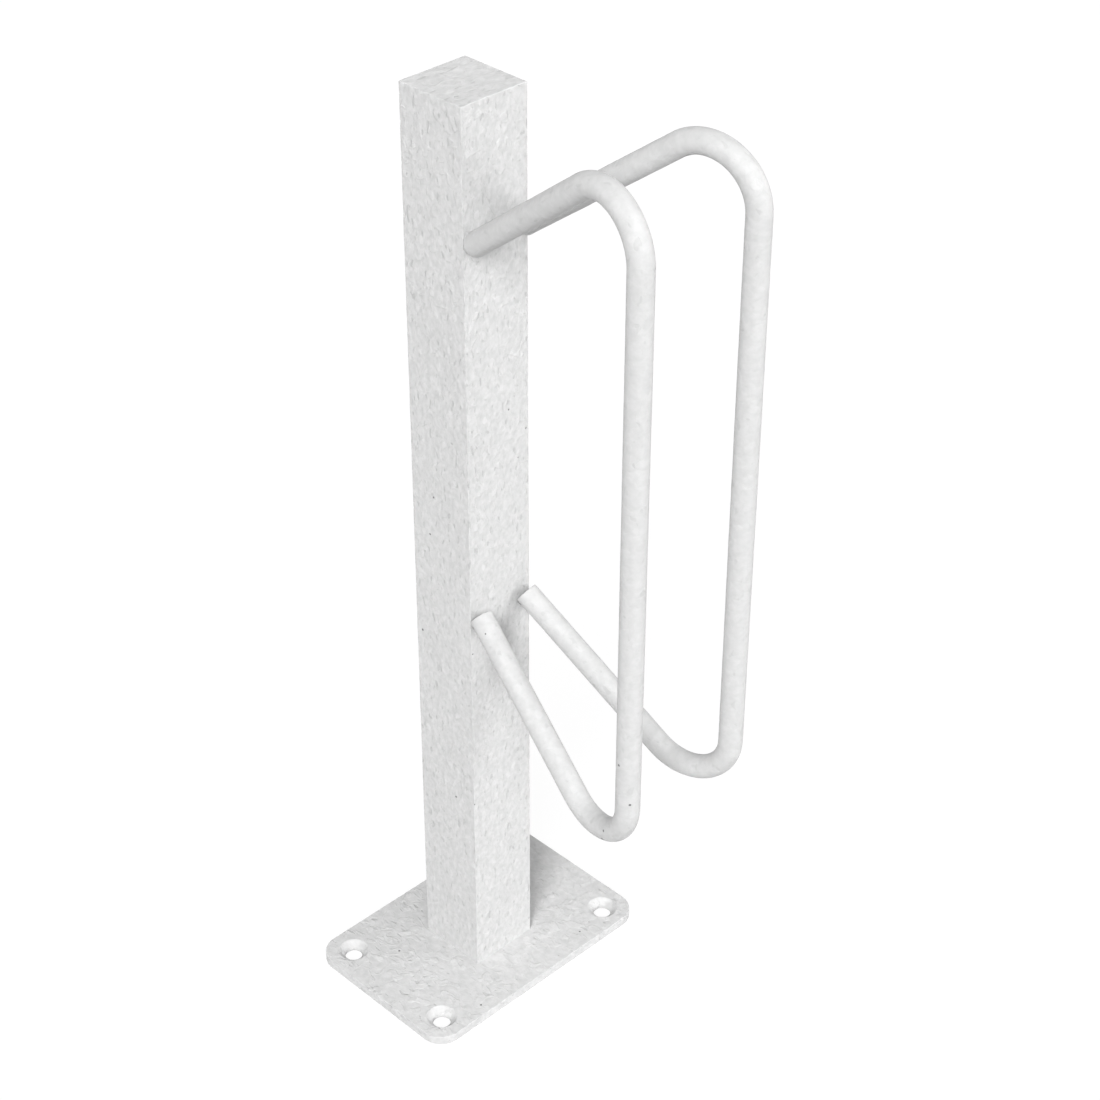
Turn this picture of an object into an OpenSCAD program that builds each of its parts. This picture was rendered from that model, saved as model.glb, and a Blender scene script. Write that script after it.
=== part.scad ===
// Bike parking stand for a floor: a square post on a base plate, with two bent bars
// that take a wheel between them.
// +X is the way the bars reach out, +Z is up. The origin is the centre of the base
// plate's underside, on the axis of the post. Lengths are millimetres.

/* [Post] */
// Outside width of the square post
post_w = 60; // [50:1:90]
// Wall thickness of the post
post_wall = 3; // [2:0.5:5]
// Length of the post's tube
post_len = 750; // [650:10:1000]
// Radius of the post's outside corners
post_corner_r = 1; // [0.5:0.5:2]

/* [Top plate] */
// Thickness of the plate that closes the post
top_t = 3; // [2:0.5:6]
// Width of the seam weld round the top plate
top_seam = 1.5; // [1:0.1:1.9]
// Rounding of the seam weld where it is ground
top_round = 1.4; // [0.5:0.1:1.9]

/* [Base plate] */
// Width of the base plate, along X
base_w = 150; // [120:5:200]
// Length of the base plate, along Y
base_l = 225; // [180:5:300]
// Thickness of the base plate
base_t = 8; // [6:1:12]
// Radius of the base plate's corners
base_corner_r = 18.5; // [5:0.5:25]

/* [Anchor holes] */
// Diameter of the anchor holes
hole_d = 14; // [10:0.5:16]
// Diameter of the countersinks at the top of the plate
sink_d = 24; // [18:0.5:26]
// Included angle of the countersinks
sink_angle = 90; // [82:1:100]
// Distance from the plate's edges to the centre of each hole
hole_edge = 21.5; // [18:0.5:25]

/* [Hoops] */
// Diameter of the round bar
bar_d = 18; // [12:1:22]
// Bend radius at the middle of the bar
bend_r = 39; // [30:1:50]
// Amount by which the bar's radius draws in where it is bent
bend_draw = 0.05; // [0.02:0.01:0.2]
// Distance from the post's side face to the middle of an arm, at the front face
arm_inset = 7.75; // [6:0.25:12]
// Angle by which each hoop turns away from straight ahead
hoop_splay = 9.65; // [5:0.05:14]
// Reach of a hoop from the post to the middle of its upright leg
hoop_reach = 187.5; // [150:2.5:240]
// Distance from the top of the tube down to the middle of an upper arm
upper_drop = 100; // [50:5:150]
// Distance between the upper and the lower arm of a hoop, at the post
arm_spread = 300; // [220:5:360]
// Rise of the upper arm, away from the post
upper_rise = 37; // [25:0.5:45]
// Fall of the lower arm, away from the post
lower_fall = 35.5; // [25:0.5:45]

/* [Welds] */
// Radius of the foot's seam weld, inside the opening of the base plate
foot_weld_r = 3; // [2:0.5:4]
// Radius of the welds under the upper arms, from where the bar meets the post
upper_weld_r = 10; // [6:0.5:11]
// Distance by which those welds stay inside the bar's own outline
upper_weld_inset = 1; // [0.5:0.25:2]
// Radius of the welds under the lower arms, from where the bar meets the post
lower_weld_r = 8; // [5:0.5:10]
// Height of those welds over the side of the bar
lower_weld_rise = 2; // [1:0.25:3]

/* [Hidden] */
$fn = 96;

zinc_side = "#dcdcda";
zinc_bar = "#e6e6e4";
zinc_weld = "#cfcfcc";

half_w = post_w / 2;
bore_w = post_w - 2 * post_wall;
bar_r = bar_d / 2;

// Heights above the ground
tube_z = base_t;
tube_top = tube_z + post_len;
upper_z = tube_top - upper_drop;
lower_z = upper_z - arm_spread;

// Anchor holes
hole_x = base_w / 2 - hole_edge;
hole_y = base_l / 2 - hole_edge;
sink_depth = (sink_d - hole_d) / 2 / tan(sink_angle / 2);

// Sides of the stand: the left hoop is on the left of someone who brings a wheel to the post
LEFT = -1;
RIGHT = 1;

// Cosine of the angle between an arm's line and straight ahead, square to the post's front face
function face_cos(pitch) = cos(pitch) * cos(hoop_splay);
// Distance along an arm from the face to the bar's square end, whose rim just meets the face
function end_gap(pitch) = bar_r * sqrt(1 - pow(face_cos(pitch), 2)) / face_cos(pitch);

// Corners of a hoop's middle line before it is bent, as distance out and height
upper_start = [end_gap(upper_rise) * cos(upper_rise), upper_z + end_gap(upper_rise) * sin(upper_rise)];
lower_start = [end_gap(lower_fall) * cos(lower_fall), lower_z - end_gap(lower_fall) * sin(lower_fall)];
upper_corner_z = upper_z + hoop_reach * tan(upper_rise);
lower_corner_z = lower_z - hoop_reach * tan(lower_fall);
// Length that a bend takes off each side of its corner
upper_take = bend_r / tan((90 - upper_rise) / 2);
lower_take = bend_r / tan((90 - lower_fall) / 2);
// Each upright leg runs between its two bends
leg_top = upper_corner_z - upper_take;
leg_foot = lower_corner_z + lower_take;
bend_x = hoop_reach - bend_r;
// Each straight length of bar runs this far into the bend that follows it
bend_lap = 0.5;

module rounded_square(w, l, r) {
  difference() {
    square([w, l], center = true);
    for (sx = [-1, 1], sy = [-1, 1])
      translate([sx * (w / 2 - r), sy * (l / 2 - r)])
        difference() {
          translate([sx > 0 ? 0 : -r - 1, sy > 0 ? 0 : -r - 1])
            square(r + 1);
          circle(r);
        }
  }
}

// Base plate

module anchor_hole() {
  translate([0, 0, -1])
    cylinder(d = hole_d, h = base_t + 2);
  // The countersink runs on past the plate's top by 1 mm, on the same cone
  translate([0, 0, base_t - sink_depth])
    cylinder(d1 = hole_d, d2 = sink_d + 2 * tan(sink_angle / 2), h = sink_depth + 1);
}

module base_plate() {
  color(zinc_side)
    difference() {
      linear_extrude(base_t)
        rounded_square(base_w, base_l, base_corner_r);
      for (sx = [-1, 1], sy = [-1, 1])
        translate([sx * hole_x, sy * hole_y, 0])
          anchor_hole();
      // Opening under the post: zinc runs out here, and the foot is welded through it
      translate([0, 0, base_t / 2])
        cube([bore_w, bore_w, base_t + 2], center = true);
    }
}

module foot_weld() {
  color(zinc_weld)
    intersection() {
      union() {
        for (side = [-1, 1]) {
          translate([side * bore_w / 2, 0, tube_z])
            rotate([90, 0, 0])
              cylinder(r = foot_weld_r, h = bore_w, center = true);
          translate([0, side * bore_w / 2, tube_z])
            rotate([0, 90, 0])
              cylinder(r = foot_weld_r, h = bore_w, center = true);
        }
      }
      translate([0, 0, tube_z])
        cube([bore_w, bore_w, 4 * foot_weld_r], center = true);
    }
}

// Post

module post_tube() {
  color(zinc_side)
    translate([0, 0, tube_z])
      linear_extrude(post_len)
        difference() {
          rounded_square(post_w, post_w, post_corner_r);
          square(bore_w, center = true);
        }
}

module top_plate() {
  color(zinc_side)
    translate([0, 0, tube_top + top_t / 2])
      cube([post_w - 2 * top_seam, post_w - 2 * top_seam, top_t], center = true);
}

// One straight run of the ground seam's rounding, cut off the outer top edge
module edge_cutter() {
  translate([half_w - top_round, 0, tube_top + top_t - top_round])
    rotate([90, 0, 0])
      linear_extrude(post_w + 2, center = true)
        difference() {
          square(top_round + 1);
          circle(top_round);
        }
}

module top_weld() {
  color(zinc_weld)
    difference() {
      translate([0, 0, tube_top])
        linear_extrude(top_t)
          rounded_square(post_w, post_w, post_corner_r);
      translate([0, 0, tube_top + top_t / 2])
        cube([post_w - 2 * top_seam, post_w - 2 * top_seam, top_t + 2], center = true);
      for (turn = [0:90:270])
        rotate([0, 0, turn])
          edge_cutter();
    }
}

// Hoops

// Places its children in the plane of a hoop: X out along the plane, Z up, 0 at the post's face
module hoop_plane(side) {
  translate([half_w, side * (half_w - arm_inset), 0])
    rotate([0, 0, side * hoop_splay])
      children();
}

// A straight length of bar from a point in the hoop's plane, at a pitch above level
module bar(from, pitch, length) {
  translate([from[0], 0, from[1]])
    rotate([0, 90 - pitch, 0])
      cylinder(d = bar_d, h = length);
}

// A bend in the hoop's plane about a centre, from one angle to another, counted up from outwards
module bend(centre, from, to) {
  translate([centre[0], 0, centre[1]])
    rotate([90, 0, 0])
      rotate([0, 0, from])
        rotate_extrude(angle = to - from)
          translate([bend_r, 0])
            circle(r = bar_r - bend_draw);
}

module hoop(side) {
  upper_run = (hoop_reach - upper_start[0]) / cos(upper_rise) - upper_take;
  lower_run = (hoop_reach - lower_start[0]) / cos(lower_fall) - lower_take;
  color(zinc_bar)
    hoop_plane(side) {
      bar(upper_start, upper_rise, upper_run + bend_lap);
      bend([bend_x, leg_top], 0, 90 + upper_rise);
      bar([hoop_reach, leg_foot - bend_lap], 90, leg_top - leg_foot + 2 * bend_lap);
      bend([bend_x, leg_foot], -90 - lower_fall, 0);
      bar(lower_start, -lower_fall, lower_run + bend_lap);
    }
}

module left_hoop() {
  hoop(LEFT);
}

module right_hoop() {
  hoop(RIGHT);
}

// Welds between the hoops and the post

// Everything in front of the post's face, near the height z
module before_face(z) {
  size = 4 * bar_d;
  translate([half_w, -size, z - size])
    cube([size, 2 * size, 2 * size]);
}

// Fills the wedge below an upper arm's square end, from where its rim meets the face
module upper_weld(side) {
  rim = upper_start + bar_r * [-sin(upper_rise), cos(upper_rise)];
  color(zinc_weld)
    intersection() {
      before_face(upper_z);
      hoop_plane(side)
        intersection() {
          // The bar's own line, run back into the post
          translate([upper_start[0], 0, upper_start[1]])
            rotate([0, -90 - upper_rise, 0])
              cylinder(r = bar_r - upper_weld_inset, h = 3 * bar_d);
          translate([rim[0], 0, rim[1]])
            rotate([90, 0, 0])
              cylinder(r = upper_weld_r, h = 2 * bar_d, center = true);
        }
    }
}

// Fillet in the sharp corner below a lower arm
module lower_weld(side) {
  rim = lower_start - bar_r * [sin(lower_fall), cos(lower_fall)];
  reach = 3 * bar_d;
  color(zinc_weld)
    intersection() {
      before_face(lower_z);
      hoop_plane(side)
        difference() {
          intersection() {
            translate([rim[0], 0, rim[1]])
              rotate([90, 0, 0])
                cylinder(r = lower_weld_r, h = 2 * bar_d, center = true);
            translate([lower_start[0], 0, lower_start[1]])
              rotate([0, 90 + lower_fall, 0])
                translate([0, 0, -reach])
                  cylinder(r = bar_r + lower_weld_rise, h = 2 * reach);
          }
          // The bar and its line run back into the post
          translate([lower_start[0], 0, lower_start[1]])
            rotate([0, 90 + lower_fall, 0])
              translate([0, 0, -reach])
                cylinder(r = bar_r, h = 2 * reach);
          // The open wedge above the bar's square end stays open
          translate([rim[0] - 2 * bar_d, -2 * bar_d, rim[1]])
            cube([4 * bar_d, 4 * bar_d, 4 * bar_d]);
        }
    }
}

module left_upper_weld() {
  upper_weld(LEFT);
}

module left_lower_weld() {
  lower_weld(LEFT);
}

module right_upper_weld() {
  upper_weld(RIGHT);
}

module right_lower_weld() {
  lower_weld(RIGHT);
}

base_plate();
foot_weld();
post_tube();
top_plate();
top_weld();
left_hoop();
right_hoop();
left_upper_weld();
left_lower_weld();
right_upper_weld();
right_lower_weld();
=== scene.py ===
"""Bike parking stand: a welded floor stand, hot-dip galvanised, with its zinc skin, welds and studio.

Lengths are metres, as in the frame. +X is the way the hoops reach out, +Z is up, and the origin is
the middle of the base plate's underside. Each new piece is a surface worked out with numpy and laid
on the solid that it stands for. Relief only ever goes inwards, so the whole stays inside the box of
the solids.
"""

import bmesh
import bpy
import numpy as np
from mathutils import Matrix, Vector


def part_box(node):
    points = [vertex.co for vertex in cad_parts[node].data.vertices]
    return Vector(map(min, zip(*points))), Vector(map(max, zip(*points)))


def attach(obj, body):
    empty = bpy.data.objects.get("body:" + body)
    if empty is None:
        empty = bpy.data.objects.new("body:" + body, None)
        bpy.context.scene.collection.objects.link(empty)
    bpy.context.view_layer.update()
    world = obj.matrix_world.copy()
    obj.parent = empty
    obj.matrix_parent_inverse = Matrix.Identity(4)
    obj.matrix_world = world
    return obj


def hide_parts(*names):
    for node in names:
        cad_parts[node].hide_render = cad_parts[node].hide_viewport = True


bl_info = {
    "name": "Bike Parking Stand",
    "version": (1, 0, 0),
    "blender": (4, 5, 0),
    "location": "View3D > Sidebar > Bike Stand",
    "description": "Dresses a galvanised bike parking stand and sets up its studio",
    "category": "Add Mesh",
}

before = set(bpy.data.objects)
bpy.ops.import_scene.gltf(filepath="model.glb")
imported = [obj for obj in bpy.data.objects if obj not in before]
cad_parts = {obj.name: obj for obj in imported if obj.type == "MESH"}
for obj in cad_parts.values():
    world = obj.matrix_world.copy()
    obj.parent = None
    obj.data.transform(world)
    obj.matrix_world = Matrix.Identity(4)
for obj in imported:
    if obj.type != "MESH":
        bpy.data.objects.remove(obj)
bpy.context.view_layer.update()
BODY = "root"
MM = 0.001
LEFT, RIGHT = -1, 1

# Name, turn from +X, height above level, half of its apparent width and of its apparent height (all in
# degrees), and share of light
SOFTBOXES = (
    ("key_softbox", -57.6, 39.2, 10, 16.5, 1.12),
    ("wide_key_softbox", -51, 33, 21, 21, 0.125),
    ("fill_softbox", -40, 30, 12, 12, 0.38),
    ("high_softbox", -20, 40, 25, 25, 0.14),
    ("front_softbox", 5, 12, 22, 22, 0.05),
    ("narrow_side_softbox", 32, 14, 7.5, 7.5, 0.21),
    ("side_softbox", 36, 15, 13, 13, 0.20),
    ("wide_side_softbox", 48, 14, 21, 21, 0.215),
    ("far_side_softbox", 75, 20, 16, 16, 0.10),
    ("rim_softbox", -125, 12, 14, 14, 0.05),
    ("back_softbox", 150, 40, 25, 25, 0.02),
)

PLATE_LOW, PLATE_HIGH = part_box("base_plate")
POST_LOW, POST_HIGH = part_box("post_tube")
_, LID_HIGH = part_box("top_plate")


def linear(hex_colour):
    """sRGB hex to the linear colour that shaders take, with alpha 1."""
    parts = np.array([int(hex_colour[k : k + 2], 16) for k in (1, 3, 5)]) / 255
    low = parts / 12.92
    high = ((parts + 0.055) / 1.055) ** 2.4
    return (*np.where(parts <= 0.04045, low, high).tolist(), 1.0)


class StandSizes(bpy.types.PropertyGroup):
    """Sizes of the pieces that are laid over the solids"""

    bar_d: bpy.props.FloatProperty(
        name="Bar diameter", description="Diameter of the round bar", default=18 * MM, unit="LENGTH"
    )
    bend_r: bpy.props.FloatProperty(
        name="Bend radius",
        description="Bend radius at the middle of the bar",
        default=39 * MM,
        unit="LENGTH",
    )
    arm_inset: bpy.props.FloatProperty(
        name="Arm inset",
        description="From the post's side face to the middle of an arm",
        default=7.75 * MM,
        unit="LENGTH",
    )
    splay: bpy.props.FloatProperty(
        name="Splay",
        description="Angle by which each hoop turns away from straight ahead",
        default=np.radians(9.65),
        unit="ROTATION",
    )
    reach: bpy.props.FloatProperty(
        name="Reach",
        description="From the post to the middle of a hoop's upright leg",
        default=187.5 * MM,
        unit="LENGTH",
    )
    upper_drop: bpy.props.FloatProperty(
        name="Upper drop",
        description="From the top of the tube down to the middle of an upper arm",
        default=100 * MM,
        unit="LENGTH",
    )
    arm_spread: bpy.props.FloatProperty(
        name="Arm spread",
        description="Between the upper and the lower arm of a hoop, at the post",
        default=300 * MM,
        unit="LENGTH",
    )
    upper_rise: bpy.props.FloatProperty(
        name="Upper rise", description="Rise of the upper arm", default=np.radians(37), unit="ROTATION"
    )
    lower_fall: bpy.props.FloatProperty(
        name="Lower fall", description="Fall of the lower arm", default=np.radians(35.5), unit="ROTATION"
    )
    edge_r: bpy.props.FloatProperty(
        name="Edge rounding",
        description="Radius that the zinc leaves on a cut edge",
        default=0.6 * MM,
        unit="LENGTH",
    )
    relief: bpy.props.FloatProperty(
        name="Zinc relief",
        description="Depth of the zinc skin's unevenness",
        default=0.2 * MM,
        unit="LENGTH",
    )
    melt: bpy.props.FloatProperty(
        name="Melt",
        description="How deep welding has sunk the touching rim of an arm into the post",
        default=1.2 * MM,
        unit="LENGTH",
    )
    upper_weld_r: bpy.props.FloatProperty(
        name="Upper welds",
        description="Radius of the welds under the upper arms, from where the bar meets the post",
        default=10 * MM,
        unit="LENGTH",
    )
    lower_weld_r: bpy.props.FloatProperty(
        name="Lower welds",
        description="Radius of the welds under the lower arms, from where the bar meets the post",
        default=8 * MM,
        unit="LENGTH",
    )
    lower_weld_rise: bpy.props.FloatProperty(
        name="Lower weld rise",
        description="How far the lower welds stand out from the underside of the bar",
        default=2 * MM,
        unit="LENGTH",
    )
    foot_weld_r: bpy.props.FloatProperty(
        name="Foot weld",
        description="Radius of the seam weld under the post",
        default=3 * MM,
        unit="LENGTH",
    )
    wall: bpy.props.FloatProperty(
        name="Post wall", description="Wall thickness of the post's tube", default=3 * MM, unit="LENGTH"
    )
    corner_r: bpy.props.FloatProperty(
        name="Post corners",
        description="Radius of the post's outside corners",
        default=0.12 * MM,
        unit="LENGTH",
    )
    rim_r: bpy.props.FloatProperty(
        name="Ground seam",
        description="Rounding of the ground seam round the lid",
        default=0.75 * MM,
        unit="LENGTH",
    )
    foot_fillet: bpy.props.FloatProperty(
        name="Foot fillet",
        description="Radius of the zinc that gathers where the post meets the plate",
        default=0.15 * MM,
        unit="LENGTH",
    )
    plate_corner_r: bpy.props.FloatProperty(
        name="Plate corners",
        description="Radius of the base plate's corners",
        default=18.5 * MM,
        unit="LENGTH",
    )
    plate_edge_r: bpy.props.FloatProperty(
        name="Plate edge rounding",
        description="Radius of the base plate's sheared and dipped edges",
        default=0.3 * MM,
        unit="LENGTH",
    )
    hole_edge: bpy.props.FloatProperty(
        name="Hole to edge",
        description="From the plate's edges to the middle of each hole",
        default=21.5 * MM,
        unit="LENGTH",
    )
    hole_d: bpy.props.FloatProperty(
        name="Hole", description="Diameter of the anchor holes", default=14 * MM, unit="LENGTH"
    )
    sink_d: bpy.props.FloatProperty(
        name="Countersink",
        description="Diameter of the countersinks at the plate's top",
        default=24 * MM,
        unit="LENGTH",
    )


class StandFinish(bpy.types.PropertyGroup):
    """Colours of the zinc"""

    tube_light: bpy.props.FloatVectorProperty(
        name="Light tube",
        description="Colour of the post's paler zinc",
        subtype="COLOR",
        size=4,
        default=linear("#bbbbbb"),
    )
    # Dark end of the zinc's own tone; the strokes also lay it in their creases as painted shade
    tube_dark: bpy.props.FloatVectorProperty(
        name="Dark tube",
        description="Colour of the post's zinc in its creases",
        subtype="COLOR",
        size=4,
        default=linear("#a3a3a3"),
    )
    plate_light: bpy.props.FloatVectorProperty(
        name="Light plate",
        description="Colour of the base plate's paler zinc",
        subtype="COLOR",
        size=4,
        default=linear("#bdbdbd"),
    )
    # Dark end of the zinc's own tone; the strokes also lay it in their creases as painted shade
    plate_dark: bpy.props.FloatVectorProperty(
        name="Dark plate",
        description="Colour of the base plate's zinc in its creases",
        subtype="COLOR",
        size=4,
        default=linear("#a8a8a8"),
    )
    bar_light: bpy.props.FloatVectorProperty(
        name="Light bar",
        description="Colour of the bars' paler zinc",
        subtype="COLOR",
        size=4,
        default=linear("#b4b4b4"),
    )
    # Dark end of the zinc's own tone; the strokes also lay it in their creases as painted shade
    bar_dark: bpy.props.FloatVectorProperty(
        name="Dark bar",
        description="Colour of the bars' zinc in their creases",
        subtype="COLOR",
        size=4,
        default=linear("#a8a8a8"),
    )
    # Painted shade: stands in for the shade at the bottom of a pit
    pit: bpy.props.FloatVectorProperty(
        name="Pits",
        description="Colour at the bottom of a pit in the zinc",
        subtype="COLOR",
        size=4,
        default=linear("#606060"),
    )


class StandStudio(bpy.types.PropertyGroup):
    """Camera and light"""

    camera_at: bpy.props.FloatVectorProperty(
        name="Camera place",
        description="Where the camera stands",
        default=(1120.37 * MM, -1024.05 * MM, 1422.15 * MM),
        subtype="TRANSLATION",
    )
    camera_turn: bpy.props.FloatProperty(
        name="Camera turn",
        description="Side from which it looks, from +X",
        default=np.radians(-44.62),
        unit="ROTATION",
    )
    camera_tilt: bpy.props.FloatProperty(
        name="Camera tilt",
        description="Angle by which it looks down",
        default=np.radians(34.30),
        unit="ROTATION",
    )
    camera_roll: bpy.props.FloatProperty(
        name="Camera roll",
        description="Turn about its own line of sight",
        default=np.radians(0.13),
        unit="ROTATION",
    )
    sky: bpy.props.FloatProperty(
        name="Sky",
        description="Strength of the light that comes from all round",
        default=0.265,
        min=0.0,
        soft_max=1.0,
        subtype="FACTOR",
    )
    floor_colour: bpy.props.FloatVectorProperty(
        name="Floor",
        description="Colour of the floor to the light that falls on it",
        subtype="COLOR",
        size=4,
        default=linear("#b3b3b3"),
    )
    lens: bpy.props.FloatProperty(
        name="Lens",
        description="Focal length on a 36 mm sensor, in millimetres",
        default=80.91,
        unit="CAMERA",
    )


GROUPS = {
    "bike_stand_sizes": StandSizes,
    "bike_stand_finish": StandFinish,
    "bike_stand_studio": StandStudio,
}


# Surfaces


def side_by_side(*columns):
    """Stacks columns as the last axis. Each is an array, or one value for every row."""
    return np.stack(np.broadcast_arrays(*columns), axis=-1)


def with_third(grid, values):
    """Adds a third coordinate to a grid of pairs: one value for each of its rows."""
    return np.concatenate([grid, np.broadcast_to(values[:, None, None], (*grid.shape[:2], 1))], axis=-1)


def grid_faces(rows, columns, close_rows=False, close_columns=False):
    """Quads of a grid of points: each point, the next in its row, and the two that follow these in the
    row after."""
    row = np.arange(rows if close_rows else rows - 1)[:, None]
    column = np.arange(columns if close_columns else columns - 1)[None, :]
    above, beside = (row + 1) % rows, (column + 1) % columns
    start, over = row * columns, above * columns
    return np.stack([start + column, start + beside, over + beside, over + column], axis=-1).reshape(-1, 4)


def smooth_field(points, cell, seed):
    """Random field from -1 to 1: a random value at each corner of a cubic lattice of that cell size,
    blended inside the cell by 3t^2 - 2t^3 along each axis. The lattice repeats after 64 cells."""
    period = 64
    table = np.random.default_rng(seed).uniform(-1, 1, (period,) * 3)
    place = points / cell
    base = np.floor(place).astype(int)
    t = place - base
    t = t * t * (3 - 2 * t)
    total = np.zeros(points.shape[:-1])
    for corner in np.ndindex(2, 2, 2):
        weight = np.prod(np.where(corner, t, 1 - t), axis=-1)
        index = (base + corner) % period
        total += weight * table[index[..., 0], index[..., 1], index[..., 2]]
    return total


def zinc_bed(points, depth, seed):
    """How far the zinc skin lies below its highest level at each place, from 0 to depth: the sum of a
    field of 11 mm swells and one of 5 mm lumps drawn out along Z, shifted so that it is never negative."""
    swells = smooth_field(points, 11 * MM, seed)
    lumps = smooth_field(points * [1, 1, 0.6], 5 * MM, seed + 1)
    return depth * (0.5 - 0.25 * swells - 0.25 * lumps)


def build_piece(name, points, faces, grain, material, stands_for):
    """Makes one closed piece from grid points, puts grain coordinates on it and lays it over its solids."""
    mesh = bpy.data.meshes.new(name)
    mesh.from_pydata(points.reshape(-1, 3).tolist(), [], faces.tolist())
    layer = mesh.attributes.new("grain", "FLOAT_VECTOR", "POINT")
    layer.data.foreach_set("vector", grain.reshape(-1, 3).astype(np.float32).ravel())
    merge = bmesh.new()
    merge.from_mesh(mesh)
    bmesh.ops.remove_doubles(merge, verts=merge.verts, dist=0.002 * MM)
    bmesh.ops.recalc_face_normals(merge, faces=merge.faces)
    merge.to_mesh(mesh)
    merge.free()
    mesh.shade_smooth()
    mesh.set_sharp_from_angle(angle=np.radians(50))
    mesh.materials.append(material)
    piece = bpy.data.objects.new(name, mesh)
    bpy.context.scene.collection.objects.link(piece)
    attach(piece, BODY)
    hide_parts(*stands_for)


# Post


def square_ring(cells, corner_cells):
    """A ring round a square with rounded corners. Each point is place (half - r) + facing r, for a square
    of that half width and corner radius r: place lies on the inner square, from -1 to 1 each way."""
    side = np.linspace(-1, 1, cells + 1)
    turn = np.linspace(0, np.pi / 2, corner_cells + 1)[1:-1]
    place = np.concatenate([side_by_side(1.0, side), np.ones((len(turn), 2))])
    flat = np.tile([1.0, 0.0], (cells + 1, 1))
    facing = np.concatenate([flat, side_by_side(np.cos(turn), np.sin(turn))])
    quarter = np.array([[0.0, 1.0], [-1.0, 0.0]])
    turns = [np.linalg.matrix_power(quarter, k) for k in range(4)]
    return np.concatenate([place @ t for t in turns]), np.concatenate([facing @ t for t in turns])


def post_profile(sizes, step):
    """Half section of the closed post, from the middle of the lid's top out to the rounded rim, down the
    wall, round the zinc fillet at the foot, back up the bore and in under the lid. Columns are half
    width, height, and the outward and upward parts of the way that the surface faces."""
    half, bore = POST_HIGH.x, POST_HIGH.x - sizes.wall
    low, high = POST_LOW.z, LID_HIGH.z
    rim, fillet = sizes.rim_r, sizes.foot_fillet
    # The foot goes on down to this height, out of sight inside the plate
    sunk = low - 0.3 * MM
    turn = np.linspace(0, np.pi / 2, 6)
    # Two rows so close that the pattern changes its direction between them unseen
    over = np.sort(np.append(turn, np.radians([59.9, 60.1])))
    lid = np.arange(0, half - rim, step)
    wall = np.linspace(high - rim, low + fillet, int((high - low) / step))
    up_bore = np.linspace(sunk, POST_HIGH.z, 8)
    under = np.linspace(bore, 0, 6)
    rim_out, rim_up = np.sin(over), np.cos(over)
    foot_out, foot_up = np.cos(turn), np.sin(turn)
    rows = [
        side_by_side(lid, high, 0.0, 1.0),
        side_by_side(half - rim + rim * rim_out, high - rim + rim * rim_up, rim_out, rim_up),
        side_by_side(half, wall, 1.0, 0.0)[1:-1],
        side_by_side(half + fillet * (1 - foot_out), low + fillet * (1 - foot_up), foot_out, foot_up),
        side_by_side([half], sunk, 0.0, -1.0),
        side_by_side(bore, up_bore, -1.0, 0.0),
        side_by_side(under, POST_HIGH.z, 0.0, -1.0)[1:],
    ]
    return np.concatenate(rows)


def build_post(name, sizes, material):
    """The tube, its lid and the ground seam between them under one zinc skin. Each row of the half
    section is carried round a square ring, and every point then sinks by the zinc's relief."""
    place, facing = square_ring(cells=38, corner_cells=4)
    half, height, out, up = post_profile(sizes, step=1.6 * MM).T
    # The further in a row lies, the smaller are its corners, down to the least
    least = 0.05 * MM
    corner = np.clip(sizes.corner_r - (POST_HIGH.x - half), least, sizes.corner_r)
    corner = np.minimum(corner, half)
    plan = place * (half - corner)[:, None, None] + facing * corner[:, None, None]
    points = with_third(plan, height)
    normals = with_third(facing * out[:, None, None], up)
    bed = zinc_bed(points, sizes.relief, seed=5)
    # The bore, the foot's end and the underside of the lid have no relief
    inside = (out < 0) | (up < 0)
    bed[inside] = 0
    skin = points - normals * bed[..., None]
    # The pattern runs along Z on the sides. On the lid it runs along Y and is a little larger
    on_lid = (up > 0.5)[:, None, None]
    grain = np.where(on_lid, 0.8 * points[..., [1, 0, 2]], points[..., [2, 0, 1]])
    faces = grid_faces(*plan.shape[:2], close_columns=True)
    stands_for = ["post_tube", "top_plate", "top_weld"]
    build_piece(name, skin, faces, grain, material, stands_for)


# Base plate


def corner_patch(sizes, cells):
    """Outline of the part of the plate round one hole, seen from the hole, as a closed loop of 4 cells
    points: out along the plate's edge, round its corner, back along its other edge, and home by two
    straight sides that it shares with the rest of the plate. Then the stretch of it that lies on the
    plate's edges, and the way that each point of this stretch faces."""
    edge = sizes.hole_edge - sizes.plate_edge_r
    r = sizes.plate_corner_r - sizes.plate_edge_r
    inner = -sizes.hole_edge
    straight = cells // 3
    run = np.linspace(inner, edge - r, straight + 1)[:-1]
    turn = np.linspace(0, np.pi / 2, 2 * cells - 2 * straight + 1)
    back = np.linspace(edge - r, inner, straight + 1)[1:]
    home = np.linspace(edge, inner, cells + 1)[1:]
    over = np.linspace(inner, edge, cells + 1)[1:-1]
    rounded = side_by_side(np.cos(turn), np.sin(turn))
    loop = np.concatenate(
        [
            side_by_side(edge, run),
            edge - r + r * rounded,
            side_by_side(back, edge),
            side_by_side(inner, home),
            side_by_side(over, inner),
        ]
    )
    outer = 2 * cells + 1
    facing = np.concatenate([np.tile([1.0, 0], (len(run), 1)), rounded, np.tile([0, 1.0], (len(back), 1))])
    return loop, loop[:outer], facing


def plate_lines(sizes, cells):
    """Grid lines across the plate, along X and along Y: through the corner patches, and on to the sides
    of the opening."""
    lines = []
    opening = POST_HIGH.x - sizes.wall
    for outer, count in ((PLATE_HIGH.x, 4), (PLATE_HIGH.y, 36)):
        inner = outer - 2 * sizes.hole_edge
        patch = np.linspace(inner, outer - sizes.plate_edge_r, cells + 1)
        between = np.linspace(opening, inner, count + 1)
        middle = np.linspace(-opening, opening, int(1.3 * cells) + 1)
        half = np.concatenate([between[1:], patch[1:]])
        lines.append(np.concatenate([-half[::-1], middle, half]))
    return lines


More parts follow.
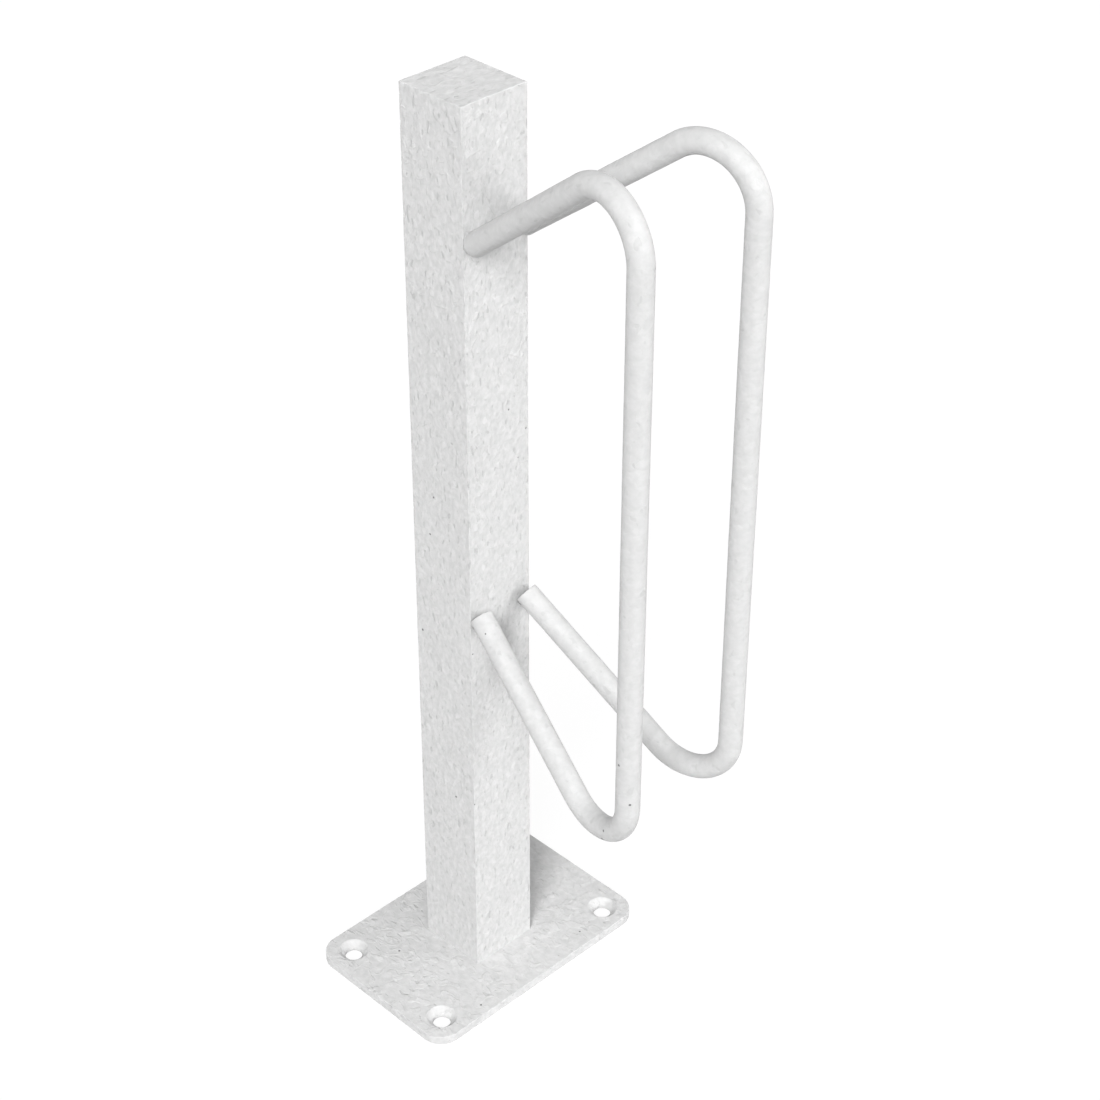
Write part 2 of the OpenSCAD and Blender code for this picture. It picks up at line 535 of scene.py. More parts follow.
def build_plate(name, sizes, material):
    """The base plate as one closed skin: flat grids over and under it, ringed patches round the four
    holes, countersinks and bores, the rounded outer edge and the opening under the post. A ring of a
    patch is s times the patch's outline plus 1 - s times the hole's circle, with s going from 1 to 0.
    Every point then sinks by the zinc's relief, against the way that it faces."""
    cells = 36
    top, bottom, edge = PLATE_HIGH.z, PLATE_LOW.z, sizes.plate_edge_r
    opening = POST_HIGH.x - sizes.wall
    xs, ys = plate_lines(sizes, cells)
    parts = []

    def add(points, normals, faces):
        """Keeps a patch of the skin: its points, the way that each of them faces, and its quads."""
        parts.append((points.reshape(-1, 3), np.broadcast_to(normals, points.shape).reshape(-1, 3), faces))

    grid = np.stack(np.meshgrid(xs, ys), axis=-1)
    middle = (grid[:-1, :-1] + grid[1:, 1:]) / 2
    inner = np.array([PLATE_HIGH.x, PLATE_HIGH.y]) - 2 * sizes.hole_edge
    in_opening = (np.abs(middle) < opening).all(axis=-1)
    in_patch = (np.abs(middle) > inner).all(axis=-1)
    keep = ~(in_opening | in_patch).ravel()
    for z, up in ((top, 1.0), (bottom, -1.0)):
        add(with_third(grid, np.full(len(grid), z)), [0, 0, up], grid_faces(*grid.shape[:2])[keep])

    loop, outer, facing = corner_patch(sizes, cells)
    angle = np.arctan2(loop[:, 1], loop[:, 0])
    round_hole = side_by_side(np.cos(angle), np.sin(angle))
    bore, sink = sizes.hole_d / 2, sizes.sink_d / 2
    # The zinc rounds the countersink's mouth and throat over this much
    soft = 0.3 * MM
    throat = top - (sink - bore)
    # Columns are radius, height, and the outward and upward parts of the way that the surface faces
    profile = np.array(
        [
            [sink + soft, top, 0, 1],
            [sink, top - 0.1 * MM, -0.4, 0.9],
            [sink - soft, top - 0.35 * MM, -0.7, 0.7],
            *[[sink - depth * MM, top - depth * MM, -0.7, 0.7] for depth in (1.2, 2.1, 3.0, 3.9)],
            [bore + soft, throat + soft, -0.8, 0.6],
            [bore, throat - soft, -1, 0],
            [bore, bottom + edge, -1, 0],
            [bore + edge / 2, bottom, 0, -1],
        ]
    )
    share = np.linspace(1, 0, 12)[:-1, None, None]
    over = share * loop + (1 - share) * round_hole * (sink + soft)
    under = share[::2] * loop + (1 - share[::2]) * round_hole * (bore + edge / 2)
    cone = profile[:, 0][:, None, None] * round_hole
    rings = np.concatenate([over, cone, under[::-1]])
    level = np.concatenate([np.full(len(over), top), profile[:, 1], np.full(len(under), bottom)])
    into = np.concatenate([np.zeros(len(over)), profile[:, 2], np.zeros(len(under))])
    rise = np.concatenate([np.ones(len(over)), profile[:, 3], -np.ones(len(under))])
    ways = with_third(round_hole * into[:, None, None], rise)
    patch = with_third(rings, level)
    patch_faces = grid_faces(*rings.shape[:2], close_columns=True)
    hole = np.array([PLATE_HIGH.x, PLATE_HIGH.y]) - sizes.hole_edge

    turn = np.linspace(0, np.pi / 2, 5)
    lower = np.linspace(top - edge, bottom + edge, 7)[1:-1]
    sine, cosine = np.sin(turn), np.cos(turn)
    side = np.concatenate(
        [
            side_by_side(edge * sine, top - edge + edge * cosine, sine, cosine),
            side_by_side(edge, lower, 1.0, 0.0),
            side_by_side(edge * cosine, bottom + edge - edge * sine, cosine, -sine),
        ]
    )

    def add_wall(plan, ways):
        """A stretch of the outer edge: its quarter turns and its upright face, carried along the plan."""
        points = with_third(plan + side[:, 0][:, None, None] * ways, side[:, 1])
        normals = with_third(side[:, 2][:, None, None] * ways, side[:, 3])
        add(points, normals, grid_faces(*points.shape[:2]))

    for sign in ([1, 1], [-1, 1], [-1, -1], [1, -1]):
        flip = np.array([*sign, 1])
        add((patch + [*hole, 0]) * flip, ways * flip, patch_faces)
        add_wall((outer + hole) * sign, facing * sign)
    slack = 0.001 * MM
    along_x, along_y = xs[np.abs(xs) < inner[0] + slack], ys[np.abs(ys) < inner[1] + slack]
    for sign in (1, -1):
        plan = side_by_side(sign * (PLATE_HIGH.x - edge), along_y)
        add_wall(plan, np.array([sign, 0.0]) + 0 * plan)
        plan = side_by_side(along_x, sign * (PLATE_HIGH.y - edge))
        add_wall(plan, np.array([0.0, sign]) + 0 * plan)

    gap_x, gap_y = xs[np.abs(xs) < opening + slack], ys[np.abs(ys) < opening + slack]
    for sign in (1, -1):
        for plan, way in (
            (side_by_side(sign * opening, gap_y), [-sign, 0, 0]),
            (side_by_side(gap_x, sign * opening), [0, -sign, 0]),
        ):
            wall = np.stack([np.insert(plan, 2, z, axis=1) for z in (top, (top + bottom) / 2, bottom)])
            add(wall, way, grid_faces(*wall.shape[:2]))

    counts = np.cumsum([0] + [len(p) for p, _, _ in parts])
    points = np.concatenate([p for p, _, _ in parts])
    normals = np.concatenate([n for _, n, _ in parts])
    faces = np.concatenate([f + c for (_, _, f), c in zip(parts, counts)])
    normals = normals / np.linalg.norm(normals, axis=-1, keepdims=True)
    skin = points - normals * zinc_bed(points[:, [1, 2, 0]], sizes.relief, seed=23)[:, None]
    build_piece(name, skin, faces, points, material, ["base_plate"])


# Hoops


def bent_line(start, heading, runs, step):
    """Middle line of a bent bar in its own plane, by distance along it. Each run is a length and a
    curvature. Inside a run the line moves from the run's start by a chord of length
    d sinc(curvature d / 2) in the direction heading + curvature d / 2."""
    lengths, curvatures = np.array(runs).T
    ends = np.concatenate([[0], np.cumsum(lengths)])
    headings = heading + np.concatenate([[0], np.cumsum(lengths * curvatures)])

    def move(length, curvature, angle):
        """From the start of a run with that heading to the point at that length along it."""
        chord = length * np.sinc(curvature * length / (2 * np.pi))
        middle = angle + curvature * length / 2
        return chord[..., None] * side_by_side(np.cos(middle), np.sin(middle))

    moves = move(lengths, curvatures, headings[:-1])
    corners = start + np.concatenate([[[0, 0]], np.cumsum(moves, axis=0)])
    along = np.linspace(0, ends[-1], int(ends[-1] / step) + 1)
    run = np.clip(np.searchsorted(ends, along, side="right") - 1, 0, len(lengths) - 1)
    inside = along - ends[run]
    places = corners[run] + move(inside, curvatures[run], headings[run])
    return along, places, headings[run] + curvatures[run] * inside


def hoop_line(sizes, step):
    """Middle line of a hoop: up the upper arm from its square end, round to the leg, down it, and round
    to the lower arm's square end. With a the angle between an arm and straight ahead, its end lies off
    the face by (r sin(a) - melt) / cos(a), so that its rim is sunk into the face by the melt."""
    r = sizes.bar_d / 2
    upper_z = POST_HIGH.z - sizes.upper_drop
    lower_z = upper_z - sizes.arm_spread

    def arm(pitch, z, side):
        """Where an arm starts, how long it runs straight, and the height at which the leg's straight
        part ends on its side."""
        ahead = np.cos(pitch) * np.cos(sizes.splay)
        gap = (r * np.sqrt(1 - ahead**2) - sizes.melt) / ahead
        start = np.array([gap * np.cos(pitch), z + side * gap * np.sin(pitch)])
        # What the bend takes from the two straight parts that meet in it
        take = sizes.bend_r / np.tan((np.pi / 2 - pitch) / 2)
        corner_z = z + side * sizes.reach * np.tan(pitch)
        return start, (sizes.reach - start[0]) / np.cos(pitch) - take, corner_z - side * take

    start, upper_run, leg_top = arm(sizes.upper_rise, upper_z, 1)
    _, lower_run, leg_foot = arm(sizes.lower_fall, lower_z, -1)
    runs = [
        (upper_run, 0),
        (sizes.bend_r * (np.pi / 2 + sizes.upper_rise), -1 / sizes.bend_r),
        (leg_top - leg_foot, 0),
        (sizes.bend_r * (np.pi / 2 + sizes.lower_fall), -1 / sizes.bend_r),
        (lower_run, 0),
    ]
    return bent_line(start, sizes.upper_rise, runs, step)


def build_hoop(name, side, node, sizes, material):
    """A round bar carried along the hoop's line. Distance from the line is the bar's radius less the
    zinc's relief, and at each end the ring turns over the rounded rim and shrinks to the middle."""
    around = 72
    along, places, headings = hoop_line(sizes, step=1.1 * MM)
    r = sizes.bar_d / 2
    edge = sizes.edge_r
    # Rings along the bar stay this far away from its ends
    clear = 1.2 * edge
    turn = np.radians([0, 22.5, 45, 67.5, 90])
    rim_r = r - edge + edge * np.cos(turn)
    rim_in = edge - edge * np.sin(turn)
    # Rings on the flat end, in to its middle
    flat_r = np.array([0.8, 0.55, 0.3, 0.0]) * (r - edge)
    cap_r = np.concatenate([flat_r[::-1], rim_r[::-1]])
    cap_in = np.concatenate([np.zeros(len(flat_r)), rim_in[::-1]])
    body = (along > clear) & (along < along[-1] - clear)
    distance = np.concatenate([cap_in, along[body], along[-1] - cap_in[::-1]])
    radius = np.concatenate([cap_r, np.full(body.sum(), r), cap_r[::-1]])
    u = np.interp(distance, along, places[:, 0])
    z = np.interp(distance, along, places[:, 1])
    heading = np.interp(distance, along, headings)
    angle = np.linspace(0, 2 * np.pi, around, endpoint=False)[None, :]
    foot, out, across, up = hoop_axes(side, sizes)
    normal = np.cos(heading)[:, None] * up - np.sin(heading)[:, None] * out
    ring = np.cos(angle)[..., None] * normal[:, None] + np.sin(angle)[..., None] * across
    # Each bar has its own stretch of the pattern
    grain = side_by_side(distance[:, None] + side, r * np.cos(angle), r * np.sin(angle))
    bed = zinc_bed(grain[..., [1, 2, 0]], sizes.relief, seed=11 + side)
    middle = foot + u[:, None] * out + z[:, None] * up
    share = radius[:, None] / r
    points = middle[:, None] + ring * (radius[:, None] - bed * share)[..., None]
    faces = grid_faces(*points.shape[:2], close_columns=True)
    build_piece(name, points, faces, grain, material, [node])


# Welds


def ripples(length, pitch, depth):
    """How far a bead's skin lies below its crest at that length along it: a cosine wave of that pitch."""
    return depth * (0.5 - 0.5 * np.cos(2 * np.pi * length / pitch))


def hoop_axes(side, sizes):
    """Where a hoop's plane meets the face of the post, at the ground, and the plane's directions: out
    along it, across it towards +Y, and up."""
    foot = np.array([POST_HIGH.x, side * (POST_HIGH.y - sizes.arm_inset), 0])
    out = np.array([np.cos(sizes.splay), side * np.sin(sizes.splay), 0])
    across = np.array([-side * np.sin(sizes.splay), np.cos(sizes.splay), 0])
    return foot, out, across, np.array([0, 0, 1.0])


def arm_end(pitch, height, side, sizes):
    """Middle of an arm's square end before it melts in, the way that the arm runs, and the way from that
    middle to the rim that meets the post, for an arm that rises by the pitch or falls by a negative one."""
    foot, out, _, up = hoop_axes(side, sizes)
    ahead = np.cos(pitch) * np.cos(sizes.splay)
    gap = sizes.bar_d / 2 * np.sqrt(1 - ahead**2) / ahead
    along = np.cos(pitch) * out + np.sin(pitch) * up
    to_rim = np.sign(pitch) * (np.cos(pitch) * up - np.sin(pitch) * out)
    return foot + height * up + gap * along, along, to_rim


def build_bead(name, node, loops, material, close_ends=True):
    """A weld bead from the closed loops of its cross-sections. Where it ends, it closes to a point."""
    if close_ends:
        tips = loops[[0, -1]].mean(axis=1, keepdims=True) + 0 * loops[[0, -1]]
        loops = np.concatenate([tips[:1], loops, tips[1:]])
    faces = grid_faces(*loops.shape[:2], close_rows=not close_ends, close_columns=True)
    build_piece(name, loops, faces, loops, material, [node])


def build_upper_weld(name, node, side, sizes, material):
    """Fills the wedge between an upper arm's square end and the post. The cross-section is the part of
    a disc, 2 mm less in radius than the bar, that lies within the weld's radius of the touching rim. It
    is carried back along the arm's line to the post, and keeps that distance from the rim on the way."""
    r = sizes.bar_d / 2
    # The bead starts this far inside the bar, and goes on as far into the post
    sunk_in = 0.3 * MM
    middle, along, to_rim = arm_end(sizes.upper_rise, POST_HIGH.z - sizes.upper_drop, side, sizes)
    across = hoop_axes(side, sizes)[2]
    disc, reach = r - 2 * MM, sizes.upper_weld_r
    lowest = np.arccos((r - reach) / disc)
    turn = np.linspace(-lowest, lowest, 45)
    wide, drop = disc * np.sin(turn), r - disc * np.cos(turn)
    chord = np.linspace(wide[-1], wide[0], 21)[1:-1]
    wide = np.concatenate([wide, chord])
    drop = np.concatenate([drop, np.full(len(chord), reach)])
    rim = middle + r * to_rim
    back = np.linspace(0, 1, 12)[:, None]
    crest = np.sin(np.pi * back)
    gap = (rim - drop[:, None] * to_rim + wide[:, None] * across - POST_HIGH.x)[:, 0] / along[0]
    run = -sunk_in + (gap + 2 * sunk_in) * back
    sunk = ripples(wide + 0 * run, pitch=2.3 * MM, depth=0.35 * MM) * crest
    drop = np.minimum(drop, np.sqrt(reach**2 - np.clip(run, 0, None) ** 2)) - sunk
    points = rim - drop[..., None] * to_rim + wide[:, None] * across - run[..., None] * along
    build_bead(name, node, points, material)


def build_lower_weld(name, node, side, sizes, material):
    """Fillet under a lower arm. Each cross-section, at an angle round the bar from its underside, runs
    from a toe on the bar over a low crown to a toe on the post's face, and back along both. Towards the
    bead's ends it shrinks into the corner by the root of a cosine, so the bead runs out rounded."""
    r = sizes.bar_d / 2
    height = POST_HIGH.z - sizes.upper_drop - sizes.arm_spread
    middle, along, to_rim = arm_end(-sizes.lower_fall, height, side, sizes)
    across = hoop_axes(side, sizes)[2]
    # The root and both toes lie this far inside the steel
    sunk_in = 0.2 * MM
    bar_run = sizes.lower_weld_r - 0.5 * MM
    limit = np.radians(55)
    angle = np.linspace(-limit, limit, 61)[:, None]
    radial = np.cos(angle) * to_rim + np.sin(angle) * across
    root = (r * (1 - np.cos(angle)) / np.tan(sizes.lower_fall)) * along + (r - sunk_in) * radial
    bar_toe = bar_run * along + (r - sunk_in) * radial
    low = (r + sizes.lower_weld_rise) * radial
    face_toe = low - (middle + low - POST_HIGH.x)[:, :1] / along[0] * along - sunk_in * along
    root, bar_toe, face_toe = (place[:, None] for place in (root, bar_toe, face_toe))
    share = np.linspace(0, 1, 13)[None, :, None]
    bulge = 0.6 * MM - ripples(r * angle, pitch=2.1 * MM, depth=0.3 * MM)
    crown = bar_toe * (1 - share) + face_toe * share + np.sin(np.pi * share) * (radial * bulge)[:, None]
    back = np.linspace(0, 1, 5)[None, 1:, None]
    home = face_toe * (1 - back) + root * back
    out = root * (1 - back) + bar_toe * back
    full = np.concatenate([crown, home, out[:, :-1]], axis=1)
    taper = np.sqrt(np.clip(np.cos(angle / limit * np.pi / 2), 0, 1))[..., None]
    build_bead(name, node, middle + root + (full - root) * taper, material)


def build_foot_weld(name, node, sizes, material):
    """Bead round the inside of the plate's opening. Its cross-section is half a disc with its flat side
    on the wall, carried round a square."""
    place, facing = square_ring(cells=66, corner_cells=1)
    opening = POST_HIGH.x - sizes.wall
    # The flat side lies this far inside the wall
    sunk_in = 0.1 * MM
    along = (place * facing[:, ::-1]).sum(axis=-1) * opening
    r = sizes.foot_weld_r - ripples(along, pitch=2.6 * MM, depth=0.35 * MM)
    angle = np.radians(np.linspace(-90, 90, 11))[:, None]
    half = opening + sunk_in - r * np.cos(angle)
    plan = place * half[..., None]
    height = PLATE_HIGH.z + r * np.sin(angle)
    loops = np.concatenate([plan, height[..., None]], axis=-1).swapaxes(0, 1)
    build_bead(name, node, loops, material, close_ends=False)


# Materials


def add_node(tree, kind, inputs=(), **settings):
    """Adds a node, sets its own settings, then its inputs by name or number. An input takes a value,
    another node's output, or a node, which stands for that node's first output."""
    node = tree.nodes.new(kind)
    for key, value in settings.items():
        setattr(node, key, value)
    for key, value in dict(inputs).items():
        if isinstance(value, bpy.types.Node):
            value = value.outputs[0]
        if isinstance(value, bpy.types.NodeSocket):
            tree.links.new(value, node.inputs[key])
        else:
            node.inputs[key].default_value = value
    return node


def galvanised_steel(name, light, dark, pit, scale, crinkle, roughness, strokes):
    """Steel dipped in zinc, drained and weathered dull. The eye gets a matt, pale, even grey without
    spangle: broad drifts of tone, a skin that drained in small runs, paler rounded patches where it
    lies thicker, sheets of it that end in low steps, short dark strokes along the runs, and now and
    then a pit. The strokes' dark is partly the zinc's own tone and partly painted shade in their
    creases, and the pits' dark colour is painted shade. Scale is the real length and breadth of one
    run, crinkle is the skin's height, roughness is that of its middle tone, and strokes is the share
    of the skin that they may take."""
    material = bpy.data.materials.new(name)
    material.use_nodes = True
    tree = material.node_tree
    shader = tree.nodes["Principled BSDF"]
    place = add_node(tree, "ShaderNodeAttribute", attribute_name="grain").outputs["Vector"]
    along, across = scale
    run_sizes = {"Vector": place, "Scale": (1 / along, 1 / across, 1 / across)}
    skin = add_node(tree, "ShaderNodeMapping", run_sizes)
    drifts = add_node(tree, "ShaderNodeTexNoise", {"Vector": skin, "Scale": 0.12, "Detail": 2.0})
    run_field = {"Vector": skin, "Scale": 1.0, "Detail": 3.0, "Roughness": 0.6, "Distortion": 0.4}
    runs = add_node(tree, "ShaderNodeTexNoise", run_field)

    # Each layer is a field between two of its levels, inputs 1 and 2, which turn into 0 and 1
    smooth = {"interpolation_type": "SMOOTHSTEP"}
    # Patches are the cores of rounded cells, in a field bent by the runs
    wander = {0: runs.outputs["Color"], 1: (0.8, 0.8, 0.8), 2: skin}
    bent = add_node(tree, "ShaderNodeVectorMath", wander, operation="MULTIPLY_ADD")
    cells = add_node(tree, "ShaderNodeTexVoronoi", {"Vector": bent, "Scale": 0.42})
    patches = add_node(tree, "ShaderNodeMapRange", {0: cells, 1: 0.31, 2: 0.23}, **smooth)
    # Sheets of thicker zinc end in a low step, which catches the light on one side
    broad_field = {"Vector": skin, "Scale": 0.4, "Detail": 2.0, "Distortion": 1.0}
    broad = add_node(tree, "ShaderNodeTexNoise", broad_field)
    sheets = add_node(tree, "ShaderNodeMapRange", {0: broad, 1: 0.53, 2: 0.58}, **smooth)
    # Strokes lie along the runs, where a drawn out field is at its lowest. They darken the tone and
    # sink the skin, so their dark is partly the zinc's own tone and partly painted shade in their creases
    stretch = {"Vector": skin, "Scale": (0.6, 1.1, 1.1), "Location": (40, 0, 0)}
    drawn = add_node(tree, "ShaderNodeMapping", stretch)
    drawn_field = {"Vector": drawn, "Scale": 1.0, "Detail": 1.0, "Distortion": 0.3}
    lows = add_node(tree, "ShaderNodeTexNoise", drawn_field)
    limits = {0: lows, 1: 0.3 + 0.3 * strokes, 2: 0.24 + 0.3 * strokes}
    dark_strokes_and_crease_shade = add_node(tree, "ShaderNodeMapRange", limits, **smooth)
    # Pits are so far apart inside the zinc's thickness that few of them reach the surface. Their dark
    # colour is painted shade at the bottom of each pit
    spots = add_node(tree, "ShaderNodeTexVoronoi", {"Vector": place, "Scale": 1 / (24 * MM)})
    pits_with_painted_shade = add_node(tree, "ShaderNodeMapRange", {0: spots, 1: 0.05, 2: 0.03}, **smooth)

    # Tone, and what each layer adds to it
    level = add_node(tree, "ShaderNodeMath", {0: drifts, 1: 0.15, 2: runs}, operation="MULTIPLY_ADD")
    level = add_node(tree, "ShaderNodeMapRange", {0: level, 1: 0.22, 2: 0.82})
    # The strokes' darkening of the tone is partly painted crease shade
    for layer, share in ((patches, 0.22), (sheets, 0.08), (dark_strokes_and_crease_shade, -0.45)):
        level = add_node(tree, "ShaderNodeMath", {0: layer, 1: share, 2: level}, operation="MULTIPLY_ADD")
    level.use_clamp = True
    tone = add_node(tree, "ShaderNodeMix", {0: level, 6: dark, 7: light}, data_type="RGBA").outputs[2]
    # Pits take the pit colour, painted shade at their bottoms
    colour = add_node(tree, "ShaderNodeMix", {0: pits_with_painted_shade, 6: tone, 7: pit}, data_type="RGBA").outputs[2]
    # Height, and what each layer adds to it
    height = runs
    for layer, share in ((patches, 0.6), (dark_strokes_and_crease_shade, -0.9), (sheets, 0.7), (pits_with_painted_shade, -1.0)):
        height = add_node(tree, "ShaderNodeMath", {0: layer, 1: share, 2: height}, operation="MULTIPLY_ADD")
    bump = add_node(tree, "ShaderNodeBump", {"Strength": 1.0, "Distance": crinkle, "Height": height})
    # Darker zinc is a little rougher
    dull = add_node(tree, "ShaderNodeMapRange", {0: level, 3: roughness + 0.05, 4: roughness - 0.05})
    tree.links.new(colour, shader.inputs["Base Color"])
    tree.links.new(dull.outputs[0], shader.inputs["Roughness"])
    tree.links.new(bump.outputs[0], shader.inputs["Normal"])
    shader.inputs["Metallic"].default_value = 0.1
    shader.inputs["Diffuse Roughness"].default_value = 0.15
    return material


# Studio


def place_camera(studio):
    """The camera stands where the photograph was taken from and looks along its line of sight."""
    turn, tilt, roll = studio.camera_turn, studio.camera_tilt, studio.camera_roll
    back = Vector((np.cos(tilt) * np.cos(turn), np.cos(tilt) * np.sin(turn), np.sin(tilt)))
    level = Vector((-np.sin(turn), np.cos(turn), 0))
    upright = back.cross(level)
    right = np.cos(roll) * level + np.sin(roll) * upright
    up = -np.sin(roll) * level + np.cos(roll) * upright
    data = bpy.data.cameras.new("studio_camera")
    data.sensor_width = 36
    data.lens = studio.lens
    data.clip_start, data.clip_end = 0.05, 50
    camera = bpy.data.objects.new("studio_camera", data)
    facing = Matrix((right, up, back)).transposed().to_4x4()
    camera.matrix_world = Matrix.Translation(studio.camera_at) @ facing
    bpy.context.scene.collection.objects.link(camera)
    bpy.context.scene.camera = camera


def shown_to_mirrors(tree):
    """1 for camera, glossy and transmission rays, 0 for the rest."""
    path = add_node(tree, "ShaderNodeLightPath")
    seen = path.outputs["Is Camera Ray"]
    for ray in ("Is Glossy Ray", "Is Transmission Ray"):
        seen = add_node(tree, "ShaderNodeMath", {0: seen, 1: path.outputs[ray]}, operation="MAXIMUM")
    return seen


def build_floor(studio):
    """Plain floor, matt grey to the light and white to the camera and in reflections. Part of its own
    shade still shows, so it takes the stand's shadow. The white makes up for that part where no
    shadow falls."""
    half = 6.0
    # Just under the plate, so that the two never share a plane
    level = -0.2 * MM
    own_part, white_strength = 0.15, 1.1
    mesh = bpy.data.meshes.new("floor")
    corners = [(-half, -half, level), (half, -half, level), (half, half, level), (-half, half, level)]
    mesh.from_pydata(corners, [], [(0, 1, 2, 3)])
    material = bpy.data.materials.new("matt_grey_studio_floor")
    material.use_nodes = True
    tree = material.node_tree
    tree.nodes.remove(tree.nodes["Principled BSDF"])
    output = tree.nodes["Material Output"]
    matt = add_node(tree, "ShaderNodeBsdfDiffuse", {"Color": studio.floor_colour})
    white = add_node(tree, "ShaderNodeEmission", {"Color": linear("#ffffff"), "Strength": white_strength})
    parts = {0: shown_to_mirrors(tree), 1: 1 - own_part}
    share = add_node(tree, "ShaderNodeMath", parts, operation="MULTIPLY")
    mixed = add_node(tree, "ShaderNodeMixShader", {0: share, 1: matt, 2: white})
    tree.links.new(mixed.outputs[0], output.inputs["Surface"])
    mesh.materials.append(material)
    floor = bpy.data.objects.new("floor", mesh)
    bpy.context.scene.collection.objects.link(floor)


def light_world(studio):
    """White to the camera and in reflections, and a little soft light from all round."""
    world = bpy.data.worlds.new("studio")
    bpy.context.scene.world = world
    world.use_nodes = True
    tree = world.node_tree
    background = tree.nodes["Background"]
    background.inputs["Color"].default_value = linear("#ffffff")
    limits = {"Value": shown_to_mirrors(tree), "To Min": studio.sky, "To Max": 1.0}
    strength = add_node(tree, "ShaderNodeMapRange", limits)
    tree.links.new(strength.outputs[0], background.inputs["Strength"])


def hang_softbox(name, turn, height, spread, rise, share):
    """An oval softbox 24 m away, at that turn from +X and height above level. From its middle it looks
    spread wide to its sides and rise high to its top. Share 1 would light a white card that faces it to
    plain white: a lamp of power p at distance d gives such a card p / (pi d)^2."""
    distance = 24.0
    # About the middle of the stand
    aim = Vector((0.06, 0, 0.4))
    way = Vector((np.cos(height) * np.cos(turn), np.cos(height) * np.sin(turn), np.sin(height)))
    data = bpy.data.lights.new(name, "AREA")
    data.shape = "ELLIPSE"
    data.size = 2 * distance * np.tan(spread)
    data.size_y = 2 * distance * np.tan(rise)
    data.energy = share * (np.pi * distance) ** 2
    lamp = bpy.data.objects.new(name, data)
    lamp.location = aim + distance * way
    lamp.rotation_euler = way.to_track_quat("Z", "Y").to_euler()
    lamp.visible_camera = False
    bpy.context.scene.collection.objects.link(lamp)


# Operators


class BIKE_STAND_OT_studio(bpy.types.Operator):
    """Make the floor, the light and the camera"""

    bl_idname = "bike_stand.studio"
    bl_label = "Studio"

    def execute(self, context):
        scene = context.scene
        scene.view_settings.view_transform = "Standard"
        studio = scene.bike_stand_studio
        light_world(studio)
        build_floor(studio)
        for name, *angles, share in SOFTBOXES:
            hang_softbox(name, *np.radians(angles), share)
        place_camera(studio)
        return {"FINISHED"}


class BIKE_STAND_OT_post(bpy.types.Operator):
    """Lay the zinc skin over the post and its lid"""

    bl_idname = "bike_stand.post"
    bl_label = "Post"

    def execute(self, context):
        scene = context.scene
        finish = scene.bike_stand_finish
        tones = (finish.tube_light, finish.tube_dark, finish.pit)
        skin = {"scale": (5.2 * MM, 3.7 * MM), "crinkle": 0.25 * MM, "roughness": 0.75, "strokes": 0.19}
        zinc = galvanised_steel("galvanised_square_tube", *tones, **skin)
        build_post("post_skin", scene.bike_stand_sizes, zinc)
        return {"FINISHED"}


class BIKE_STAND_OT_plate(bpy.types.Operator):
    """Lay the zinc skin over the base plate"""

    bl_idname = "bike_stand.plate"
    bl_label = "Base Plate"

    def execute(self, context):
        scene = context.scene
        finish = scene.bike_stand_finish
        tones = (finish.plate_light, finish.plate_dark, finish.pit)
        skin = {"scale": (5.5 * MM, 4.7 * MM), "crinkle": 0.31 * MM, "roughness": 0.75, "strokes": 0.09}
        zinc = galvanised_steel("galvanised_plate", *tones, **skin)
        build_plate("base_plate_skin", scene.bike_stand_sizes, zinc)
        return {"FINISHED"}


class BIKE_STAND_OT_hoops(bpy.types.Operator):
    """Make the two bent bars"""

    bl_idname = "bike_stand.hoops"
    bl_label = "Hoops"

    def execute(self, context):
        scene = context.scene
        finish = scene.bike_stand_finish
        tones = (finish.bar_light, finish.bar_dark, finish.pit)
        skin = {"scale": (5 * MM, 6 * MM), "crinkle": 0.13 * MM, "roughness": 0.75, "strokes": 0.15}
        zinc = galvanised_steel("galvanised_round_bar", *tones, **skin)
        build_hoop("left_hoop_bar", LEFT, "left_hoop", scene.bike_stand_sizes, zinc)
        build_hoop("right_hoop_bar", RIGHT, "right_hoop", scene.bike_stand_sizes, zinc)
        return {"FINISHED"}


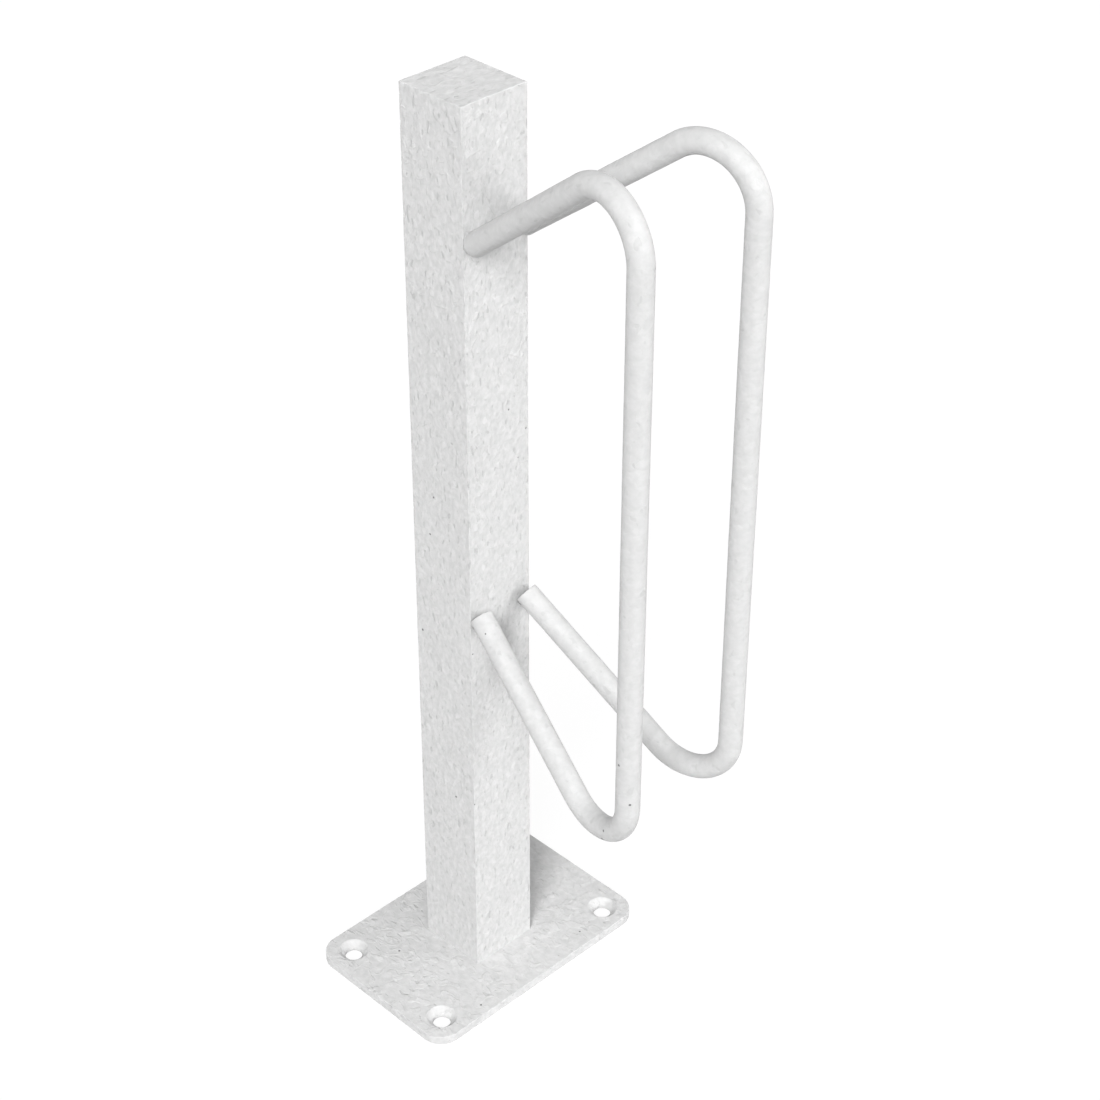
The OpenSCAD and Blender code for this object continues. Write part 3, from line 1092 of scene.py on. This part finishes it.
class BIKE_STAND_OT_welds(bpy.types.Operator):
    """Make the weld beads at the bars' ends and under the post"""

    bl_idname = "bike_stand.welds"
    bl_label = "Welds"

    def execute(self, context):
        scene = context.scene
        sizes = scene.bike_stand_sizes
        finish = scene.bike_stand_finish
        tones = (finish.bar_light, finish.bar_dark, finish.pit)
        skin = {"scale": (3 * MM, 3 * MM), "crinkle": 0.2 * MM, "roughness": 0.7, "strokes": 0.2}
        bead = galvanised_steel("galvanised_weld", *tones, **skin)
        for label, side in (("left", LEFT), ("right", RIGHT)):
            build_upper_weld(f"{label}_upper_bead", f"{label}_upper_weld", side, sizes, bead)
            build_lower_weld(f"{label}_lower_bead", f"{label}_lower_weld", side, sizes, bead)
        build_foot_weld("foot_bead", "foot_weld", sizes, bead)
        return {"FINISHED"}


class BIKE_STAND_PT_panel(bpy.types.Panel):
    """Lists the steps that make the stand"""

    bl_idname = "BIKE_STAND_PT_panel"
    bl_label = "Bike Stand"
    bl_space_type = "VIEW_3D"
    bl_region_type = "UI"
    bl_category = "Bike Stand"

    def draw(self, context):
        column = self.layout.column()
        for step in STEPS:
            column.operator(step.bl_idname)


STEPS = (
    BIKE_STAND_OT_studio,
    BIKE_STAND_OT_post,
    BIKE_STAND_OT_plate,
    BIKE_STAND_OT_hoops,
    BIKE_STAND_OT_welds,
)


def register():
    for group in GROUPS.values():
        bpy.utils.register_class(group)
    for name, group in GROUPS.items():
        setattr(bpy.types.Scene, name, bpy.props.PointerProperty(type=group))
    for step in (*STEPS, BIKE_STAND_PT_panel):
        bpy.utils.register_class(step)


def unregister():
    for step in (BIKE_STAND_PT_panel, *reversed(STEPS)):
        bpy.utils.unregister_class(step)
    for name, group in GROUPS.items():
        delattr(bpy.types.Scene, name)
        bpy.utils.unregister_class(group)


def main():
    register()
    bpy.ops.bike_stand.studio()
    bpy.ops.bike_stand.post()
    bpy.ops.bike_stand.plate()
    bpy.ops.bike_stand.hoops()
    bpy.ops.bike_stand.welds()


if __name__ == "__main__":
    main()
